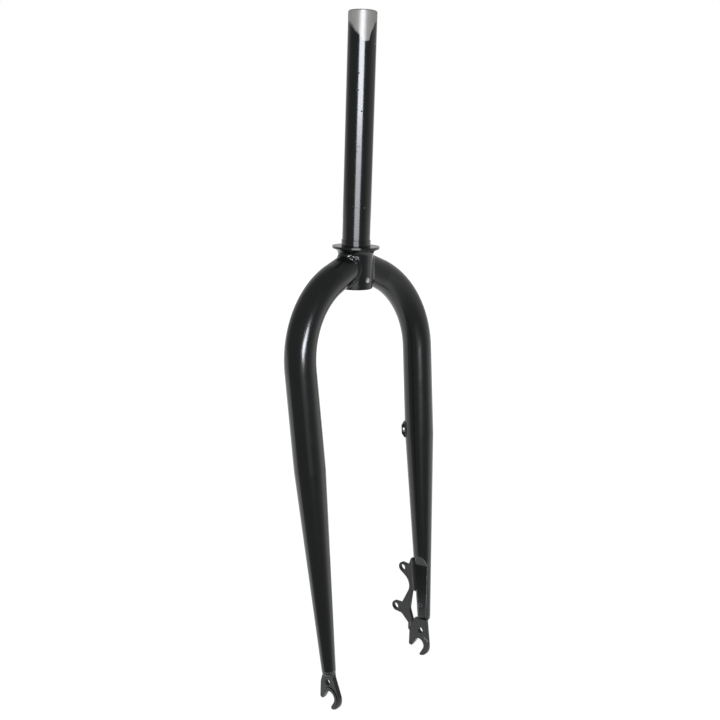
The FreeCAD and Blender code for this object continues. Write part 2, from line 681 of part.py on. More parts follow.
# Beads round the blades at the barrel
def mitre_point(turn):
    """Point where the outside of the disc-side blade meets the barrel, at one angle round the blade."""
    start = blade_frame.Base
    way = lean.multVec(run_way)
    out = lean.multVec(bend_start_way) * math.cos(turn) + lean.multVec(BACK) * math.sin(turn)
    along = size("barrel_radius")
    for _ in range(8):
        swell = (size("blade_radius") - size("blade_crown_radius")) * along / size("crown_run")
        spot = start + out * (size("blade_crown_radius") + swell)
        a = way.x ** 2 + way.y ** 2
        b = spot.x * way.x + spot.y * way.y
        c = spot.x ** 2 + spot.y ** 2 - size("barrel_radius") ** 2
        along = (-b + math.sqrt(b * b - a * c)) / a
    return spot + way * along


def half_bead(curve, first, last):
    """Round bead along part of a closed curve."""
    piece = curve.copy()
    piece.segment(first, last)
    start = piece.FirstParameter
    ring = Part.Circle(piece.value(start), Vector(*piece.tangent(start)[0]), size("crown_bead"))
    return Part.Wire(piece.toShape()).makePipeShell([Part.Wire(ring.toShape())], True, False)


MITRE_POINTS = 48
mitre_turns = [2 * math.pi * i / MITRE_POINTS for i in range(MITRE_POINTS)]
mitre = Part.BSplineCurve()
mitre.interpolate([mitre_point(turn) for turn in mitre_turns], PeriodicFlag=True)
halfway = (mitre.FirstParameter + mitre.LastParameter) / 2
crown_seam = doc.addObject("Part::Feature", "crown_seam")
crown_seam.Shape = half_bead(mitre, mitre.FirstParameter, halfway).fuse(
    half_bead(mitre, halfway, mitre.LastParameter))
left_crown_weld = cut("left_crown_weld", cut("seam_off_blade", crown_seam, blade_outside), crown)
right_crown_weld = mirrored("right_crown_weld", left_crown_weld)

# Hose guide on the inner rear of the disc-side leg
guide_raw = new_body("guide_raw")
guide_side = new_sketch(guide_raw, "XZ_Plane")
half = "sizes.guide_length / 2"
draw_polygon(guide_side, (
    (s("-guide_rise"), "-" + half),
    ("sizes.guide_rise / 4", "-" + half),
    (s("guide_rise"), "-sizes.guide_length / 4"),
    (s("guide_rise"), "sizes.guide_length / 4"),
    ("sizes.guide_rise / 4", half),
    (s("-guide_rise"), half),
))
guide_pad = guide_raw.newObject("PartDesign::Pad", "guide_block")
guide_pad.Profile = guide_side
guide_pad.Midplane = True
bind(guide_pad, Length="sizes.guide_width")
doc.recompute()
trough = new_sketch(guide_raw, "XY_Plane")
draw_circle(trough, s("guide_rise", "guide_hose_sink"), "0", s("guide_hose_radius"))
trough_cut = guide_raw.newObject("PartDesign::Pocket", "guide_trough")
trough_cut.Profile = trough
trough_cut.Type = "ThroughAll"
trough_cut.Midplane = True
doc.recompute()
tie = new_sketch(guide_raw, "XZ_Plane")
draw_polygon(tie, (
    (s("guide_tie_low"), "-sizes.guide_tie_width / 2"),
    (s("guide_tie_low", "guide_tie_height"), "-sizes.guide_tie_width / 2"),
    (s("guide_tie_low", "guide_tie_height"), "sizes.guide_tie_width / 2"),
    (s("guide_tie_low"), "sizes.guide_tie_width / 2"),
))
tie_cut = guide_raw.newObject("PartDesign::Pocket", "guide_tie_passage")
tie_cut.Profile = tie
tie_cut.Type = "ThroughAll"
tie_cut.Midplane = True
doc.recompute()
guide_facing = lean * leg_turn * Rotation(UP, 90 + size("guide_turn"))
guide_frame = Placement(leg_point(toe, size("guide_along")), guide_facing)
guide_raw.Placement = guide_frame * Placement(ACROSS * size("blade_radius"), Rotation())
doc.recompute()
hose_guide = cut("hose_guide", guide_raw, blade_outside)

# Finished pieces
NODES = (steerer, sleeve, left_blade, right_blade, left_dropout, right_dropout, disc_tab, hose_guide,
         left_crown_weld, right_crown_weld, left_dome, right_dome, upper_weld, lower_weld)

doc.recompute()
for thing in doc.Objects:
    if "Invalid" in thing.State or "Error" in thing.State:
        raise RuntimeError(f"{thing.Label} did not build: {thing.State}")

os.makedirs("parts", exist_ok=True)
for node in NODES:
    shape = node.Shape
    if shape.isNull() or not shape.isValid() or len(shape.Solids) != 1:
        raise RuntimeError(f"{node.Label} is not one sound solid ({len(shape.Solids)} solids)")
    shape.Solids[0].exportStep(os.path.join("parts", node.Label + ".step"))
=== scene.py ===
"""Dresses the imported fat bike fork: paint, bare steel, rippled welds and a plain studio."""
import json
import math

import bmesh
import bpy
from bpy.props import FloatProperty, FloatVectorProperty, PointerProperty
from mathutils import Matrix, Quaternion, Vector, noise
from mathutils.bvhtree import BVHTree


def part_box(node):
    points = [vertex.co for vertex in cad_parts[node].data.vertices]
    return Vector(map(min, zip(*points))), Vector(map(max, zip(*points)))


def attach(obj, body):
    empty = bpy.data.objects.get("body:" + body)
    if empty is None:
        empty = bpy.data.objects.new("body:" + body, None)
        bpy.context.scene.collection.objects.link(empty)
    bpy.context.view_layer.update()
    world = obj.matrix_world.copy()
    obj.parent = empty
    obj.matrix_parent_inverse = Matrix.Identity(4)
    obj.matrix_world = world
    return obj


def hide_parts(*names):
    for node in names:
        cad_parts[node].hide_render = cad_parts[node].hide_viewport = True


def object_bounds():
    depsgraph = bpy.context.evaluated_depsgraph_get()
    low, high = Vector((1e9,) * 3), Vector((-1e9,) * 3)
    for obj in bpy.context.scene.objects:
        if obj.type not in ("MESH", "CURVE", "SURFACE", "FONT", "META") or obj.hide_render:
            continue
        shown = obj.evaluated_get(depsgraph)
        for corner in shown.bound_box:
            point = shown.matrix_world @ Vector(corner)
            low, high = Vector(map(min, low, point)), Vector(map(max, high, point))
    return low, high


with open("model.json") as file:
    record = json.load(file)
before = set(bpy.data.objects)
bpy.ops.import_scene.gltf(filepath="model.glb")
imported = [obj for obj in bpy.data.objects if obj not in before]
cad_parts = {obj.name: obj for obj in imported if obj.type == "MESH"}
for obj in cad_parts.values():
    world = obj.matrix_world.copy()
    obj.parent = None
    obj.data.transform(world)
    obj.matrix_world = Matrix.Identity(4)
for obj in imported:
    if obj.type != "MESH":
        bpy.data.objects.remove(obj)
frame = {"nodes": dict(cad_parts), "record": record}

bl_info = {
    "name": "Fat bike fork",
    "version": (1, 0, 0),
    "blender": (4, 5, 0),
    "location": "View3D > Sidebar > Fork",
    "description": "Finishes, welds and studio for a rigid fat bike fork",
    "category": "Object",
}

MM = 0.001
CAD_BOX = [list(corner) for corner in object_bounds()]
STEERER_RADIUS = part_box("steerer_tube")[1].x
STEERER_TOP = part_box("steerer_tube")[1].z
CROWN_HOLE = next(m["pos_m"] for m in frame["record"]["mounts"] if m["name"] == "crown_hole")
# A little more than the crown hole's radius, so that its whole wall takes the painted light
CROWN_HOLE_REACH = 2.7 * MM

# The side of the steerer that the paint has left bare, as an angle about the steering axis
BARE_SIDE = math.radians(-136.1)
# Where the paint stops: degrees round from that side, and millimetres below the top
BARE_EDGE = (
    (-75, 11.0),
    (-47, 14.0),
    (-30, 19.0),
    (-16, 22.4),
    (-4.5, 26.0),
    (7.6, 29.5),
    (20, 29.4),
    (28, 28.4),
    (34, 23.0),
    (46, 17.0),
    (65, 10.4),
    (75, 9.0),
)
# Marks on the steerer: degrees round from the bare side, then height, half length and half width in
# millimetres, then tilt in degrees
STEERER_NICKS = (
    (-8.6, 170, 0.8, 0.9, 0),
    (-10.6, 154, 1.0, 1.1, 0),
    (7.4, 134, 0.8, 0.8, 0),
    (-4, 99.5, 2.2, 0.22, 4),
    (-7, 95, 1.1, 0.2, -12),
    (-14, 41, 1.0, 0.3, 9),
    (-3, 39.6, 0.8, 0.35, -20),
)
STEERER_CHIPS = (
    (62.7, 198.6, 0.8, 1.0, 0),
    (31, 39.6, 0.6, 0.5, 0),
)
# The scratch on the left dropout: place along Y instead of the degrees, and the rest as above
DROPOUT_SCRATCH = (
    (-60.2, -439.7, 2.4, 0.75, 36),
    (-62.3, -440.4, 1.1, 0.7, -20),
    (-63.6, -441.9, 2.0, 0.65, 34),
)
# The scratch is only on the inner face, so its mask ends this far out from the middle of the fork
SCRATCH_REACH = 68.2 * MM

# Sizes of the patterns in the coat: clouds, smudges, ragged overspray and orange peel
CLOUD_SIZE = 38 * MM
SMUDGE_SIZE = 9 * MM
OVERSPRAY_SIZE = 5 * MM
PEEL_SIZE = 1.6 * MM
# Blasted grit, grinding grain and the drill's tears, drawn coarser than real ones so that they show
GRIT_SIZE = 3.2 * MM
GRAIN_SIZE = 0.9 * MM
TEAR_SIZE = 0.5 * MM
# How far from a crease the painted highlight reaches, where the coat is also worn thin
WORN_HIGHLIGHT_WIDTH = 1.1 * MM

# How far in from its toes a weld bead reaches its full ripples, and the size of its lumps
TOE_WIDTH = 0.8 * MM
LUMP_SIZE = 5 * MM

# The photograph's viewpoint: the camera's place in metres, its turn, tilt and roll in degrees, and its
# shift as a share of the picture
CAMERA_PLACE = (-0.64015, -0.61566, 0.09969)
CAMERA_TURNS = (-46.846, 10.248, 1.830)
CAMERA_SHIFT = (-0.0071, -0.0767)
# The studio in metres: where the soft lamp stands, and how far the cards are from the steering axis
LAMP_PLACE = (-1.10, -0.96, 0.70)
CARD_DISTANCE = 1.46
# The way to the dim part of the room, which lies behind the camera
ROOM_SIDE = (-0.76, -0.40, 0.50)
# The paper sheet in metres: half its width and depth, and how far it comes in front of the axis
PAPER_HALF = (6.0, 3.06)
PAPER_FRONT = 0.12


def linear(hex_colour):
    """An sRGB hex colour as linear red, green and blue."""
    shares = [int(hex_colour[i : i + 2], 16) / 255 for i in (0, 2, 4)]
    return [c / 12.92 if c <= 0.04045 else ((c + 0.055) / 1.055) ** 2.4 for c in shares]


class ForkFinish(bpy.types.PropertyGroup):
    """Colours and gloss of the fork's finishes."""

    paint: FloatVectorProperty(
        name="Paint",
        description="Satin black powder coat on the blades, crown and plates",
        subtype="COLOR",
        default=linear("0f1111"),
    )
    paint_thin: FloatVectorProperty(
        name="Thin paint",
        description="The same coat where it lies thinner and looks greyer",
        subtype="COLOR",
        default=linear("181a19"),
    )
    # Painted highlight: the light grey that the blades' creases take in place of their glint, where
    # the coat is also worn thin
    worn_and_highlight: FloatVectorProperty(
        name="Rubbed paint",
        description="The coat worn thin along an edge",
        subtype="COLOR",
        default=linear("9a9da2"),
    )
    steel: FloatVectorProperty(
        name="Bare steel",
        description="Ground steel where the paint stops, dulled by the grey film of its wash",
        subtype="COLOR",
        default=linear("b0aea8"),
    )
    # Dark scale in the bore; on the steerer's sawn top edge this tone is a painted shade
    scale: FloatVectorProperty(
        name="Mill scale",
        description="Dark skin left on steel inside the steerer and on its sawn rim",
        subtype="COLOR",
        default=linear("56514c"),
    )
    tube_roughness: FloatProperty(
        name="Tube roughness",
        description="Roughness of the satin coat on the blades",
        default=0.21,
        min=0.05,
        max=1.0,
    )
    steerer_roughness: FloatProperty(
        name="Steerer roughness",
        description="Roughness of the smoother coat on the steerer",
        default=0.17,
        min=0.05,
        max=1.0,
    )
    plate_roughness: FloatProperty(
        name="Plate roughness",
        description="Roughness of the coat on the blasted plates",
        default=0.4,
        min=0.05,
        max=1.0,
    )
    steel_roughness: FloatProperty(
        name="Steel roughness",
        description="Roughness of the ground steel",
        default=0.38,
        min=0.05,
        max=1.0,
    )


class ForkWelds(bpy.types.PropertyGroup):
    """Sizes of the weld beads."""

    pitch: FloatProperty(
        name="Ripple pitch",
        description="Distance between two ripples along a bead",
        default=2.6 * MM,
        unit="LENGTH",
    )
    ripple: FloatProperty(
        name="Ripple height",
        description="Height of a ripple over the valleys",
        default=0.32 * MM,
        unit="LENGTH",
    )
    lump: FloatProperty(
        name="Lump height",
        description="Height of the slow unevenness of a bead laid by hand",
        default=0.4 * MM,
        unit="LENGTH",
    )
    sink: FloatProperty(
        name="Sink",
        description="Depth to which a bead's toes run into the pieces that it joins",
        default=0.16 * MM,
        unit="LENGTH",
    )
    mesh_size: FloatProperty(
        name="Mesh size",
        description="Side of the even mesh that carries the ripples",
        default=0.33 * MM,
        unit="LENGTH",
    )


class ForkStudio(bpy.types.PropertyGroup):
    """Camera and lamps."""

    lens: FloatProperty(
        name="Lens",
        description="Focal length on a 36 mm sensor",
        default=43.64,
        min=10.0,
        max=200.0,
    )
    lamp_power: FloatProperty(
        name="Lamp",
        description="Power of the soft lamp beside the camera that lights the fork",
        default=16.0,
        unit="POWER",
    )
    card_level: FloatProperty(
        name="Card",
        description="Brightness of the white cards that only the gloss mirrors",
        default=23.0,
        min=0.0,
        max=50.0,
    )
    fill: FloatProperty(
        name="Room light",
        description="Strength of the even light from all around",
        default=0.2,
        min=0.0,
        max=2.0,
    )
    room: FloatProperty(
        name="Room in reflections",
        description="Brightness of the room behind the camera as the paint mirrors it",
        default=0.28,
        min=0.0,
        max=1.0,
    )
    paper: FloatProperty(
        name="Paper in reflections",
        description="Brightness of the white paper round the fork as the paint mirrors it",
        default=0.66,
        min=0.0,
        max=1.0,
    )


def add(tree, kind, inputs=None, **settings):
    """Add a shader node with its settings, and its inputs' values or links."""
    node = tree.nodes.new("ShaderNode" + kind)
    for name, value in settings.items():
        setattr(node, name, value)
    for socket, value in (inputs or {}).items():
        if isinstance(value, bpy.types.NodeSocket):
            tree.links.new(value, node.inputs[socket])
        else:
            node.inputs[socket].default_value = value
    return node


def rgba(colour):
    """A colour with full opacity."""
    return (*colour, 1.0)


def new_material(name):
    """An empty node material with its output; returns the material, its tree and the output."""
    material = bpy.data.materials.new(name)
    material.use_nodes = True
    tree = material.node_tree
    tree.nodes.clear()
    return material, tree, add(tree, "OutputMaterial")


def marks(tree, flat, spots):
    """A mask of small oval marks on a flattened surface, from their places, half sizes and tilts."""
    nearest = None
    for across, up, length, width, tilt in spots:
        place = {
            "Vector": flat,
            "Location": (across * MM, up * MM, 0),
            "Rotation": (0, 0, math.radians(tilt)),
            "Scale": (length * MM, width * MM, 1),
        }
        place = add(tree, "Mapping", place, vector_type="TEXTURE").outputs["Vector"]
        far = add(tree, "VectorMath", {0: place}, operation="LENGTH").outputs["Value"]
        if nearest is not None:
            far = add(tree, "Math", {0: nearest, 1: far}, operation="MINIMUM").outputs[0]
        nearest = far
    # Each mark fades out over the outer part of its radius
    fade = {"Value": nearest, "From Min": 1.0, "From Max": 0.55}
    return add(tree, "MapRange", fade).outputs["Result"]


def crown_hole(tree, where):
    """A mask of the wall of the hole drilled fore and aft through the crown."""
    off = add(tree, "VectorMath", {0: where, 1: CROWN_HOLE}, operation="SUBTRACT").outputs["Vector"]
    off = add(tree, "VectorMath", {0: off, 1: (1, 0, 1)}, operation="MULTIPLY").outputs["Vector"]
    far = add(tree, "VectorMath", {0: off}, operation="LENGTH").outputs["Value"]
    return add(tree, "Math", {0: far, 1: CROWN_HOLE_REACH}, operation="LESS_THAN").outputs[0]


def highlight_on_worn_creases(tree, finish, tone, smudge):
    """The coat's tone with a painted highlight of light grey along its creases, where the coat is also
    worn thin, more in some patches than in others.
    """
    crease = add(tree, "Bevel", {"Radius": WORN_HIGHLIGHT_WIDTH}, samples=8).outputs["Normal"]
    facing = {0: crease, 1: add(tree, "NewGeometry").outputs["Normal"]}
    facing = add(tree, "VectorMath", facing, operation="DOT_PRODUCT").outputs["Value"]
    # Painted highlight: along a crease, where the rounded normal parts from the true one, the tone
    # turns light grey
    worn_highlight = {"Value": facing, "From Min": 0.992, "From Max": 0.965, "To Max": 1.8}
    worn_highlight = add(tree, "MapRange", worn_highlight).outputs["Result"]
    worn_highlight = add(tree, "Math", {0: worn_highlight, 1: smudge}, operation="MULTIPLY").outputs[0]
    tone = {"Factor": worn_highlight, 6: tone, 7: rgba(finish.worn_and_highlight)}
    return add(tree, "Mix", tone, data_type="RGBA").outputs[2]


def ground_steel(tree, finish, where, smudge, stain_and_shade):
    """Bare ground steel: fine grain under a grey film that hides most of the metal's own mirror."""
    grain = {"Vector": where, "Scale": 1 / GRAIN_SIZE, "Detail": 3.0}
    grain = add(tree, "TexNoise", grain).outputs["Fac"]
    spread = {
        "Value": grain,
        "To Min": finish.steel_roughness - 0.06,
        "To Max": finish.steel_roughness + 0.08,
    }
    spread = add(tree, "MapRange", spread).outputs["Result"]
    tone = {"Factor": smudge, 6: rgba(finish.steel), 7: rgba([0.82 * c for c in finish.steel])}
    tone = add(tree, "Mix", tone, data_type="RGBA").outputs[2]
    # Dark scale, and on the steerer's top edge a painted shade, mixed into the steel's tone
    if stain_and_shade is not None:
        tone = {"Factor": stain_and_shade, 6: tone, 7: rgba(finish.scale)}
        tone = add(tree, "Mix", tone, data_type="RGBA").outputs[2]
    relief = {"Height": grain, "Distance": 0.01 * MM, "Strength": 1.0}
    relief = add(tree, "Bump", relief).outputs["Normal"]
    steel = {"Base Color": tone, "Roughness": spread, "Metallic": 0.05, "Normal": relief}
    return add(tree, "BsdfPrincipled", steel).outputs["BSDF"]


def hole_wall_painted_light(tree, where):
    """Painted light: the drilled steel wall in near white, standing in for the brightness seen in the
    hole; torn steel, rough enough to scatter more than it mirrors.
    """
    tear = {"Vector": where, "Scale": 1 / TEAR_SIZE, "Detail": 2.0}
    tear = add(tree, "TexNoise", tear).outputs["Fac"]
    tone = {"Factor": tear, 6: rgba(linear("fbfbf9")), 7: rgba(linear("dcdad4"))}
    tone = add(tree, "Mix", tone, data_type="RGBA").outputs[2]
    spread = add(tree, "MapRange", {"Value": tear, "To Min": 0.6, "To Max": 0.8}).outputs["Result"]
    wall = {"Base Color": tone, "Roughness": spread, "Metallic": 0.1}
    return add(tree, "BsdfPrincipled", wall).outputs["BSDF"]


def coat(tree, finish, rough, peel, pore=PEEL_SIZE, bare=None, dent=None, stain_and_shade=None, edge=0.0):
    """The powder coat: near black, a little uneven in tone and gloss, with faint orange peel.

    Peel is the depth of the orange peel and pore its size. Bare is a mask where steel shows, stain a
    mask where that steel keeps its dark scale, and on the steerer's top edge a painted shade, dent a
    mask of nicks pressed into the coat, and edge the radius to which the coat rounds a crease and lays
    a painted highlight along it."""
    where = add(tree, "TexCoord").outputs["Object"]
    cloud = {"Vector": where, "Scale": 1 / CLOUD_SIZE, "Detail": 4.0, "Roughness": 0.6}
    cloud = add(tree, "TexNoise", cloud).outputs["Fac"]
    tone = {"Factor": cloud, 6: rgba(finish.paint), 7: rgba(finish.paint_thin)}
    tone = add(tree, "Mix", tone, data_type="RGBA").outputs[2]
    smudge = {"Vector": where, "Scale": 1 / SMUDGE_SIZE, "Detail": 3.0}
    smudge = add(tree, "TexNoise", smudge).outputs["Fac"]
    gloss = {"Value": smudge, "To Min": rough - 0.05, "To Max": rough + 0.05}
    gloss = add(tree, "MapRange", gloss).outputs["Result"]
    pores = {"Vector": where, "Scale": 1 / pore, "Detail": 1.0}
    pores = add(tree, "TexNoise", pores).outputs["Fac"]
    relief = {"Height": pores, "Distance": peel, "Strength": 1.0}
    if edge:
        relief["Normal"] = add(tree, "Bevel", {"Radius": edge}, samples=8).outputs["Normal"]
        # A painted highlight of light grey along the creases
        tone = highlight_on_worn_creases(tree, finish, tone, smudge)
    normal = add(tree, "Bump", relief).outputs["Normal"]
    if dent is not None:
        relief = {"Height": dent, "Distance": -0.25 * MM, "Strength": 1.0, "Normal": normal}
        normal = add(tree, "Bump", relief).outputs["Normal"]
        scuff = {0: dent, 1: 0.5, 2: gloss}
        gloss = add(tree, "Math", scuff, operation="MULTIPLY_ADD").outputs[0]
    paint = {"Base Color": tone, "Roughness": gloss, "Normal": normal, "IOR": 1.5}
    paint = add(tree, "BsdfPrincipled", paint).outputs["BSDF"]
    if bare is None:
        return paint
    steel = ground_steel(tree, finish, where, smudge, stain_and_shade)
    return add(tree, "MixShader", {"Fac": bare, 1: paint, 2: steel}).outputs["Shader"]


def blade_paint(finish):
    """Satin black powder coat on drawn tube: soft edges of light, and a painted highlight of grey
    along the creases.
    """
    material, tree, output = new_material("satin_powder_coat_tube")
    shader = coat(tree, finish, finish.tube_roughness, peel=0.012 * MM, edge=2.8 * MM)
    tree.links.new(shader, output.inputs["Surface"])
    return material


def plate_paint(finish):
    """Powder coat on stamped plate: blasted grit shows through, and one scratch bares the steel."""
    material, tree, output = new_material("powder_coat_blasted_plate")
    where = add(tree, "TexCoord").outputs["Object"]
    axes = add(tree, "SeparateXYZ", {"Vector": where}).outputs
    flat = add(tree, "CombineXYZ", {"X": axes["Y"], "Y": axes["Z"]}).outputs["Vector"]
    scratch = marks(tree, flat, DROPOUT_SCRATCH)
    inside = add(tree, "Math", {0: axes["X"], 1: SCRATCH_REACH}, operation="LESS_THAN").outputs[0]
    left = add(tree, "Math", {0: axes["X"], 1: 0.0}, operation="GREATER_THAN").outputs[0]
    side = add(tree, "Math", {0: inside, 1: left}, operation="MULTIPLY").outputs[0]
    bare = add(tree, "Math", {0: scratch, 1: side}, operation="MULTIPLY").outputs[0]
    shader = coat(tree, finish, finish.plate_roughness, peel=0.2 * MM, pore=GRIT_SIZE, bare=bare)
    tree.links.new(shader, output.inputs["Surface"])
    return material


def weld_paint(finish, name, rough):
    """Powder coat over a weld bead, where it runs together and hides the grit."""
    material, tree, output = new_material(name)
    shader = coat(tree, finish, rough, peel=0.01 * MM)
    tree.links.new(shader, output.inputs["Surface"])
    return material


def bare_wedge(tree, where, turn, height):
    """A mask of the steel above the uneven line at which the steerer's coat stops."""
    # The line as a curve over the angle
    widest, deepest = BARE_EDGE[-1][0], 30.0
    share = {"Value": turn, "From Min": math.radians(-widest), "From Max": math.radians(widest)}
    share = add(tree, "MapRange", share).outputs["Result"]
    edge = add(tree, "FloatCurve", {"Value": share})
    points = edge.mapping.curves[0].points
    spots = [((angle + widest) / (2 * widest), 1 - below / deepest) for angle, below in BARE_EDGE]
    points[0].location = spots[0]
    points[1].location = spots[-1]
    for spot in spots[1:-1]:
        points.new(*spot)
    edge.mapping.update()
    line = {"Value": edge.outputs[0], "To Min": STEERER_TOP - deepest * MM, "To Max": STEERER_TOP}
    line = add(tree, "MapRange", line).outputs["Result"]

    # Overspray: the coat thins out unevenly, over seven millimetres on one side and two on the other
    ragged = {"Vector": where, "Scale": 1 / OVERSPRAY_SIZE, "Detail": 5.0, "Roughness": 0.7}
    ragged = add(tree, "TexNoise", ragged).outputs["Fac"]
    ragged = {"Value": ragged, "To Min": -1.4 * MM, "To Max": 1.4 * MM}
    ragged = add(tree, "MapRange", ragged).outputs["Result"]
    line = add(tree, "Math", {0: line, 1: ragged}).outputs[0]
    over = add(tree, "Math", {0: height, 1: line}, operation="SUBTRACT").outputs[0]
    soft = {"Value": turn, "From Min": math.radians(-45), "From Max": math.radians(12)}
    soft.update({"To Min": 3.4 * MM, "To Max": 1.0 * MM})
    soft = add(tree, "MapRange", soft).outputs["Result"]
    over = add(tree, "Math", {0: over, 1: soft}, operation="DIVIDE").outputs[0]
    bare = {"Value": over, "From Min": -1.0, "From Max": 1.0}
    return add(tree, "MapRange", bare, interpolation_type="SMOOTHSTEP").outputs["Result"]


def steerer_paint(finish):
    """Thin black coat that stops short of the steerer's end, in a wedge of bare ground steel."""
    material, tree, output = new_material("thin_coat_over_ground_steel")
    where = add(tree, "TexCoord").outputs["Object"]
    axes = add(tree, "SeparateXYZ", {"Vector": where}).outputs
    turn = add(tree, "Math", {0: axes["Y"], 1: axes["X"]}, operation="ARCTAN2").outputs[0]
    turn = add(tree, "Math", {0: turn, 1: BARE_SIDE}, operation="SUBTRACT").outputs[0]
    turn = add(tree, "Math", {0: turn, 1: math.pi, 2: -math.pi}, operation="WRAP").outputs[0]
    bare = bare_wedge(tree, where, turn, axes["Z"])

    # Dark scale inside the bore, and a painted shade in the same dark tone on the sawn top edge
    flat = add(tree, "CombineXYZ", {"X": axes["X"], "Y": axes["Y"]}).outputs["Vector"]
    core = add(tree, "VectorMath", {0: flat}, operation="LENGTH").outputs["Value"]
    bore = {"Value": core, "From Min": STEERER_RADIUS - 0.55 * MM}
    bore["From Max"] = STEERER_RADIUS - 0.75 * MM
    bore = add(tree, "MapRange", bore).outputs["Result"]
    # Painted shade: a dark band on the sawn edge at the top of the steerer
    rim = {"Value": axes["Z"], "From Min": STEERER_TOP - 1.1 * MM, "From Max": STEERER_TOP - 0.6 * MM}
    rim = add(tree, "MapRange", rim).outputs["Result"]
    stain_and_shade = add(tree, "Math", {0: bore, 1: rim}, operation="MAXIMUM").outputs[0]

    # Chips down to the steel, and nicks that only dent the coat
    round_way = add(tree, "Math", {0: turn, 1: STEERER_RADIUS}, operation="MULTIPLY").outputs[0]
    skin = add(tree, "CombineXYZ", {"X": round_way, "Y": axes["Z"]}).outputs["Vector"]
    degree = math.radians(STEERER_RADIUS / MM)
    chips = marks(tree, skin, [(degree * spot[0], *spot[1:]) for spot in STEERER_CHIPS])
    nicks = marks(tree, skin, [(degree * spot[0], *spot[1:]) for spot in STEERER_NICKS])
    for mask in (bore, chips):
        bare = add(tree, "Math", {0: bare, 1: mask}, operation="MAXIMUM").outputs[0]
    rough = finish.steerer_roughness
    paint = coat(tree, finish, rough, peel=0.01 * MM, bare=bare, dent=nicks, stain_and_shade=stain_and_shade)
    # Painted light: the crown hole's wall in near white
    wall = {"Fac": crown_hole(tree, where), 1: paint, 2: hole_wall_painted_light(tree, where)}
    tree.links.new(add(tree, "MixShader", wall).outputs["Shader"], output.inputs["Surface"])
    return material


def sleeve_paint(finish):
    """Powder coat on the turned crown sleeve, with the wall of the drilled hole painted near white as
    painted light.
    """
    material, tree, output = new_material("powder_coat_turned_sleeve")
    where = add(tree, "TexCoord").outputs["Object"]
    paint = coat(tree, finish, finish.steerer_roughness, peel=0.012 * MM)
    # Painted light: the crown hole's wall in near white
    wall = {"Fac": crown_hole(tree, where), 1: paint, 2: hole_wall_painted_light(tree, where)}
    tree.links.new(add(tree, "MixShader", wall).outputs["Shader"], output.inputs["Surface"])
    return material


def clothe(material, *names):
    """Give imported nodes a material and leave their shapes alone."""
    for name in names:
        slots = frame["nodes"][name].data.materials
        slots.clear()
        slots.append(material)


def tree_of(name):
    """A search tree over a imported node's surface."""
    bm = bmesh.new()
    bm.from_mesh(frame["nodes"][name].data)
    tree = BVHTree.FromBMesh(bm)
    bm.free()
    return tree


def even_copy(node, size):
    """A merged copy of a packed weld in an even mesh, fine enough for ripples."""
    bm = bmesh.new()
    bm.from_mesh(frame["nodes"][node].data)
    bmesh.ops.remove_doubles(bm, verts=bm.verts, dist=0.001 * MM)
    rough = bpy.data.meshes.new(node + "_solid")
    bm.to_mesh(rough)
    bm.free()
    piece = bpy.data.objects.new(node + "_bead", rough)
    bpy.context.scene.collection.objects.link(piece)
    even = piece.modifiers.new("even", "REMESH")
    even.mode = "VOXEL"
    even.voxel_size = size
    shown = piece.evaluated_get(bpy.context.evaluated_depsgraph_get())
    mesh = bpy.data.meshes.new_from_object(shown)
    piece.modifiers.clear()
    piece.data = mesh
    bpy.data.meshes.remove(rough)
    return piece


def bead(node, joined, turns, relief, welds, seed, section=2.0):
    """Replace a weld by a rippled bead that keeps to its place on the two pieces it joins.

    Turns gives the ripples passed on the way to a point, relief scales their height there, and
    section is the power of the bead's cross-section: 2 is round, 1 is flat and less is hollow."""
    piece = even_copy(node, welds.mesh_size)
    first, second = (tree_of(name) for name in joined)
    bm = bmesh.new()
    bm.from_mesh(piece.data)
    bmesh.ops.recalc_face_normals(bm, faces=bm.faces)
    bm.normal_update()
    shifts = []
    for vert in bm.verts:
        spot_a, facing_a, _, gap_a = first.find_nearest(vert.co)
        spot_b, facing_b, _, gap_b = second.find_nearest(vert.co)
        reach = max(math.hypot(gap_a, gap_b), 0.001 * MM)
        keep = ((gap_a / reach) ** section + (gap_b / reach) ** section) ** (-1 / section)
        shift = (keep - 1) * (2 * vert.co - spot_a - spot_b)
        for facing, gap in ((facing_a, gap_a), (facing_b, gap_b)):
            shift -= facing * welds.sink * max(0.0, 1 - gap / welds.mesh_size)
        proud = min(1.0, min(gap_a, gap_b) / TOE_WIDTH)
        across = (gap_a - gap_b) / reach
        wobble = noise.noise(vert.co / LUMP_SIZE + Vector((seed, 0, 0)))
        # Ripples bow towards the toes, rise steeply and fall off slowly
        saw = (turns(vert.co) + 0.4 * across * across + 0.25 * wobble) % 1.0
        crest = (1 - saw) ** 1.3 * min(1.0, saw / 0.18)
        lift = welds.ripple * (crest - 0.45) + welds.lump * wobble
        shifts.append(shift + vert.normal * lift * relief(vert.co) * proud)
    for vert, shift in zip(bm.verts, shifts):
        vert.co += shift
    for _ in range(3):
        bmesh.ops.smooth_vert(
            bm, verts=bm.verts, factor=0.4, use_axis_x=True, use_axis_y=True, use_axis_z=True
        )
    bm.normal_update()
    for face in bm.faces:
        face.smooth = True
    bm.to_mesh(piece.data)
    bm.free()
    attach(piece, "root")
    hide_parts(node)
    return piece


class FORK_OT_paint(bpy.types.Operator):
    """Coat the blades, dropouts, disc brake tab and hose guide"""

    bl_idname = "fork.paint"
    bl_label = "Blades and plates"

    def execute(self, context):
        finish = context.scene.fork_finish
        clothe(blade_paint(finish), "left_blade", "right_blade", "hose_guide")
        clothe(plate_paint(finish), "left_dropout", "right_dropout", "disc_brake_tab")
        return {"FINISHED"}


class FORK_OT_steerer(bpy.types.Operator):
    """Coat the steerer and the crown sleeve, bare the steerer's steel, and paint the crown hole's wall
    near white as painted light
    """

    bl_idname = "fork.steerer"
    bl_label = "Steerer and crown sleeve"

    def execute(self, context):
        finish = context.scene.fork_finish
        clothe(steerer_paint(finish), "steerer_tube")
        clothe(sleeve_paint(finish), "crown_sleeve")
        return {"FINISHED"}


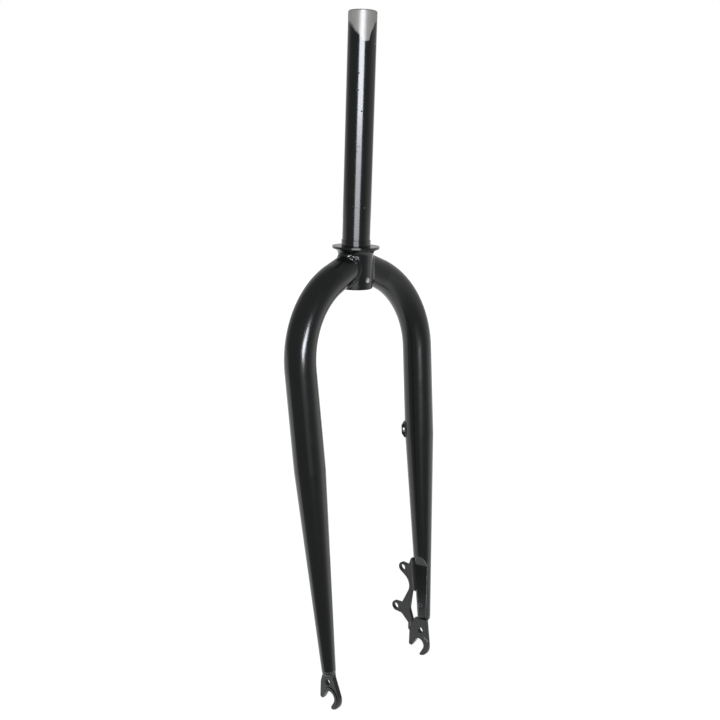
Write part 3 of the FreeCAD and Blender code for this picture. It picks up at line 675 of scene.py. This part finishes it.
class FORK_OT_crown_welds(bpy.types.Operator):
    """Lay the two rippled beads round the blades' mitres"""

    bl_idname = "fork.crown_welds"
    bl_label = "Crown welds"

    def execute(self, context):
        welds = context.scene.fork_welds
        finish = context.scene.fork_finish
        paint = weld_paint(finish, "thick_powder_coat_bead", finish.steerer_roughness)
        for seed, side in enumerate(("left", "right")):
            low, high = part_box(side + "_crown_weld")
            middle = (low + high) / 2
            count = round(math.pi * (high.y - low.y) / welds.pitch)

            def turns(point):
                """The ripples passed on the way round the mitre."""
                return count * math.atan2(point.z - middle.z, point.y - middle.y) / math.tau

            def relief(point):
                """Nearly smooth below, with full ripples at the top of the mitre."""
                rise = (point.z - middle.z) / (high.z - middle.z)
                return 0.15 + 0.85 * min(1.0, max(0.0, (rise - 0.3) / 0.4))

            joined = (side + "_blade", "crown_sleeve")
            piece = bead(side + "_crown_weld", joined, turns, relief, welds, 3.0 + seed, section=0.9)
            piece.data.materials.append(paint)
        return {"FINISHED"}


class FORK_OT_dropout_welds(bpy.types.Operator):
    """Lay the rounded welds that close the blades' ends on the dropouts"""

    bl_idname = "fork.dropout_welds"
    bl_label = "Dropout welds"

    def execute(self, context):
        welds = context.scene.fork_welds
        finish = context.scene.fork_finish
        paint = weld_paint(finish, "thick_powder_coat_closure", finish.tube_roughness)
        for seed, side in enumerate(("left", "right")):
            joined = (side + "_blade", side + "_dropout")
            piece = bead(
                side + "_dropout_weld",
                joined,
                turns=lambda point: point.y / welds.pitch,
                relief=lambda point: 0.4,
                welds=welds,
                seed=11.0 + seed,
            )
            piece.data.materials.append(paint)
        return {"FINISHED"}


class FORK_OT_tab_welds(bpy.types.Operator):
    """Lay the two beads that hold the disc brake tab"""

    bl_idname = "fork.tab_welds"
    bl_label = "Disc brake tab welds"

    def execute(self, context):
        welds = context.scene.fork_welds
        finish = context.scene.fork_finish
        beads = (
            ("upper_tab_weld", "left_blade", 0.3, finish.plate_roughness),
            ("lower_tab_weld", "left_dropout", 1.0, finish.steerer_roughness),
        )
        for seed, (node, carrier, relief, rough) in enumerate(beads):
            piece = bead(
                node,
                ("disc_brake_tab", carrier),
                turns=lambda point: point.z / welds.pitch,
                relief=lambda point: relief,
                welds=welds,
                seed=21.0 + seed,
                section=1.2,
            )
            piece.data.materials.append(weld_paint(finish, "powder_coat_" + node, rough))
        return {"FINISHED"}


def area_lamp(name, place, aim, size, power, lean=0.0):
    """A rectangular lamp of daylight colour, turned to a point, leaning right as seen from behind."""
    lamp = bpy.data.lights.new(name, "AREA")
    lamp.shape = "RECTANGLE"
    lamp.size, lamp.size_y = size
    lamp.energy = power
    lamp.color = linear("f4f7ff")
    shown = bpy.data.objects.new(name, lamp)
    shown.location = place
    facing = (Vector(aim) - Vector(place)).to_track_quat("-Z", "Y")
    shown.rotation_euler = (facing @ Quaternion((0, 0, 1), -lean)).to_euler()
    bpy.context.scene.collection.objects.link(shown)
    return shown


class FORK_OT_studio(bpy.types.Operator):
    """Set the white floor, the light and the camera"""

    bl_idname = "fork.studio"
    bl_label = "Studio"

    def execute(self, context):
        studio = context.scene.fork_studio
        scene = context.scene
        scene.view_settings.view_transform = "Standard"
        self.floor(scene)
        self.world(scene, studio)
        self.camera(scene, studio)
        self.lamps(studio)
        return {"FINISHED"}

    def lamps(self, studio):
        """A lamp that lights the fork, and cards that the gloss of its tubes mirrors as streaks."""
        lamp = area_lamp("soft_lamp", LAMP_PLACE, (0, 0, 0), (0.8, 0.8), studio.lamp_power)
        lamp.visible_glossy = False
        beads = ("left_crown_weld_bead", "right_crown_weld_bead", "lower_tab_weld_bead")
        closures = ("left_dropout_weld_bead", "right_dropout_weld_bead")
        blades = ("left_blade", "right_blade", *closures)
        # Name, degrees round the axis, height and size in metres, lean in degrees, share of the level
        # and the pieces that mirror the card
        cards = (
            ("upper_card", -134.4, 0.42, (1.05, 0.56), 0, 1.0, ("steerer_tube", *beads)),
            ("lower_card", -134.4, -0.0275, (1.05, 0.335), 0, 0.45, ("steerer_tube", "crown_sleeve")),
            ("bend_card", -110.3, 0.285, (0.34, 0.66), 52, 1.4, blades),
            ("leg_card", -125.0, -0.34, (0.60, 0.60), 0, 0.018, blades),
        )
        for name, turn, height, size, lean, share, mirrors in cards:
            turn = math.radians(turn)
            place = (CARD_DISTANCE * math.cos(turn), CARD_DISTANCE * math.sin(turn), height)
            # The power at which a lamp of this size is as bright as its share of the level
            power = math.pi * size[0] * size[1] * share * studio.card_level
            card = area_lamp(name, place, (0, 0, height), size, power, math.radians(lean))
            card.visible_diffuse = False
            group = bpy.data.collections.new(name + "_pieces")
            for piece in mirrors:
                group.objects.link(bpy.data.objects[piece])
            card.light_linking.receiver_collection = group

    def floor(self, scene):
        """A pale sheet under the dropouts that ends a little in front of them."""
        bm = bmesh.new()
        bmesh.ops.create_grid(bm, x_segments=1, y_segments=1, size=1.0)
        bmesh.ops.scale(bm, verts=bm.verts, vec=(*PAPER_HALF, 1.0))
        place = (0, PAPER_HALF[1] - PAPER_FRONT, CAD_BOX[0][2])
        bmesh.ops.translate(bm, verts=bm.verts, vec=place)
        turn = Matrix.Rotation(BARE_SIDE + math.pi / 2, 3, "Z")
        bmesh.ops.rotate(bm, verts=bm.verts, cent=(0, 0, 0), matrix=turn)
        mesh = bpy.data.meshes.new("studio_floor")
        bm.to_mesh(mesh)
        bm.free()
        floor = bpy.data.objects.new("studio_floor", mesh)
        scene.collection.objects.link(floor)

        # White paper: seen rays get its own white, less near the fork, where its shadow falls
        material, tree, output = new_material("white_paper_sweep")
        rays = add(tree, "LightPath").outputs
        seen = rays["Is Camera Ray"]
        for name in ("Is Glossy Ray", "Is Transmission Ray"):
            seen = add(tree, "Math", {0: seen, 1: rays[name]}, operation="MAXIMUM").outputs[0]
        flat = {0: add(tree, "TexCoord").outputs["Object"], 1: (1, 1, 0)}
        flat = add(tree, "VectorMath", flat, operation="MULTIPLY").outputs["Vector"]
        far = add(tree, "VectorMath", {0: flat}, operation="LENGTH").outputs["Value"]
        glow = {"Value": far, "From Min": 0.3, "From Max": 1.2, "To Min": 0.74, "To Max": 0.9}
        glow = add(tree, "MapRange", glow).outputs["Result"]
        glow = add(tree, "Math", {0: seen, 1: glow}, operation="MULTIPLY").outputs[0]
        glow = add(tree, "Emission", {"Color": (1, 1, 1, 1), "Strength": glow}).outputs["Emission"]
        paper = add(tree, "BsdfDiffuse", {"Color": rgba(linear("f4f4f2"))}).outputs["BSDF"]
        mixed = add(tree, "AddShader", {0: paper, 1: glow}).outputs["Shader"]
        tree.links.new(mixed, output.inputs["Surface"])
        mesh.materials.append(material)

    def world(self, scene, studio):
        """White behind and beside the fork, and for reflections a dim room behind the camera."""
        world = bpy.data.worlds.new("white_studio")
        world.use_nodes = True
        tree = world.node_tree
        tree.nodes.clear()
        output = add(tree, "OutputWorld")
        way = add(tree, "TexCoord").outputs["Generated"]
        front = {0: way, 1: ROOM_SIDE}
        front = add(tree, "VectorMath", front, operation="DOT_PRODUCT").outputs["Value"]
        white = {"Value": front, "From Min": 0.30, "From Max": -0.35}
        white.update({"To Min": studio.room, "To Max": studio.paper})
        white = add(tree, "MapRange", white, interpolation_type="SMOOTHSTEP").outputs["Result"]
        rays = add(tree, "LightPath").outputs
        level = {"Factor": rays["Is Glossy Ray"], 2: studio.fill, 3: white}
        level = add(tree, "Mix", level).outputs[0]
        seen = {0: rays["Is Camera Ray"], 1: rays["Is Transmission Ray"]}
        seen = add(tree, "Math", seen, operation="MAXIMUM").outputs[0]
        level = add(tree, "Mix", {"Factor": seen, 2: level, 3: 1.0}).outputs[0]
        white = {"Color": (1, 1, 1, 1), "Strength": level}
        white = add(tree, "Background", white).outputs["Background"]
        tree.links.new(white, output.inputs["Surface"])
        scene.world = world

    def camera(self, scene, studio):
        """The photograph's viewpoint, a little above the crown and in front of the right blade."""
        turn, tilt, roll = (math.radians(angle) for angle in CAMERA_TURNS)
        level = math.cos(tilt)
        back = Vector((math.sin(turn) * level, -math.cos(turn) * level, math.sin(tilt)))
        right = Vector((math.cos(turn), math.sin(turn), 0))
        up = back.cross(right)
        side = math.cos(roll) * right + math.sin(roll) * up
        top = math.cos(roll) * up - math.sin(roll) * right
        lens = bpy.data.cameras.new("camera")
        lens.sensor_width = 36.0
        lens.lens = studio.lens
        lens.shift_x, lens.shift_y = CAMERA_SHIFT
        lens.clip_start = 0.01
        camera = bpy.data.objects.new("camera", lens)
        place = Matrix.Translation(CAMERA_PLACE)
        camera.matrix_world = place @ Matrix((side, top, back)).transposed().to_4x4()
        scene.collection.objects.link(camera)
        scene.camera = camera


class FORK_PT_panel(bpy.types.Panel):
    """The fork's pieces and their sizes"""

    bl_label = "Fat bike fork"
    bl_idname = "FORK_PT_panel"
    bl_space_type = "VIEW_3D"
    bl_region_type = "UI"
    bl_category = "Fork"

    def draw(self, context):
        for group in GROUPS:
            settings = getattr(context.scene, group)
            for name in settings.__annotations__:
                self.layout.prop(settings, name)
        for operator in OPERATORS:
            self.layout.operator(operator.bl_idname)


GROUPS = {"fork_finish": ForkFinish, "fork_welds": ForkWelds, "fork_studio": ForkStudio}
OPERATORS = (
    FORK_OT_paint,
    FORK_OT_steerer,
    FORK_OT_crown_welds,
    FORK_OT_dropout_welds,
    FORK_OT_tab_welds,
    FORK_OT_studio,
)


def register():
    for name, group in GROUPS.items():
        bpy.utils.register_class(group)
        setattr(bpy.types.Scene, name, PointerProperty(type=group))
    for cls in (*OPERATORS, FORK_PT_panel):
        bpy.utils.register_class(cls)


def unregister():
    for cls in reversed((*OPERATORS, FORK_PT_panel)):
        bpy.utils.unregister_class(cls)
    for name, group in GROUPS.items():
        delattr(bpy.types.Scene, name)
        bpy.utils.unregister_class(group)


def main():
    register()
    bpy.ops.fork.paint()
    bpy.ops.fork.steerer()
    bpy.ops.fork.crown_welds()
    bpy.ops.fork.dropout_welds()
    bpy.ops.fork.tab_welds()
    bpy.ops.fork.studio()
    bpy.context.view_layer.update()


if __name__ == "__main__":
    main()
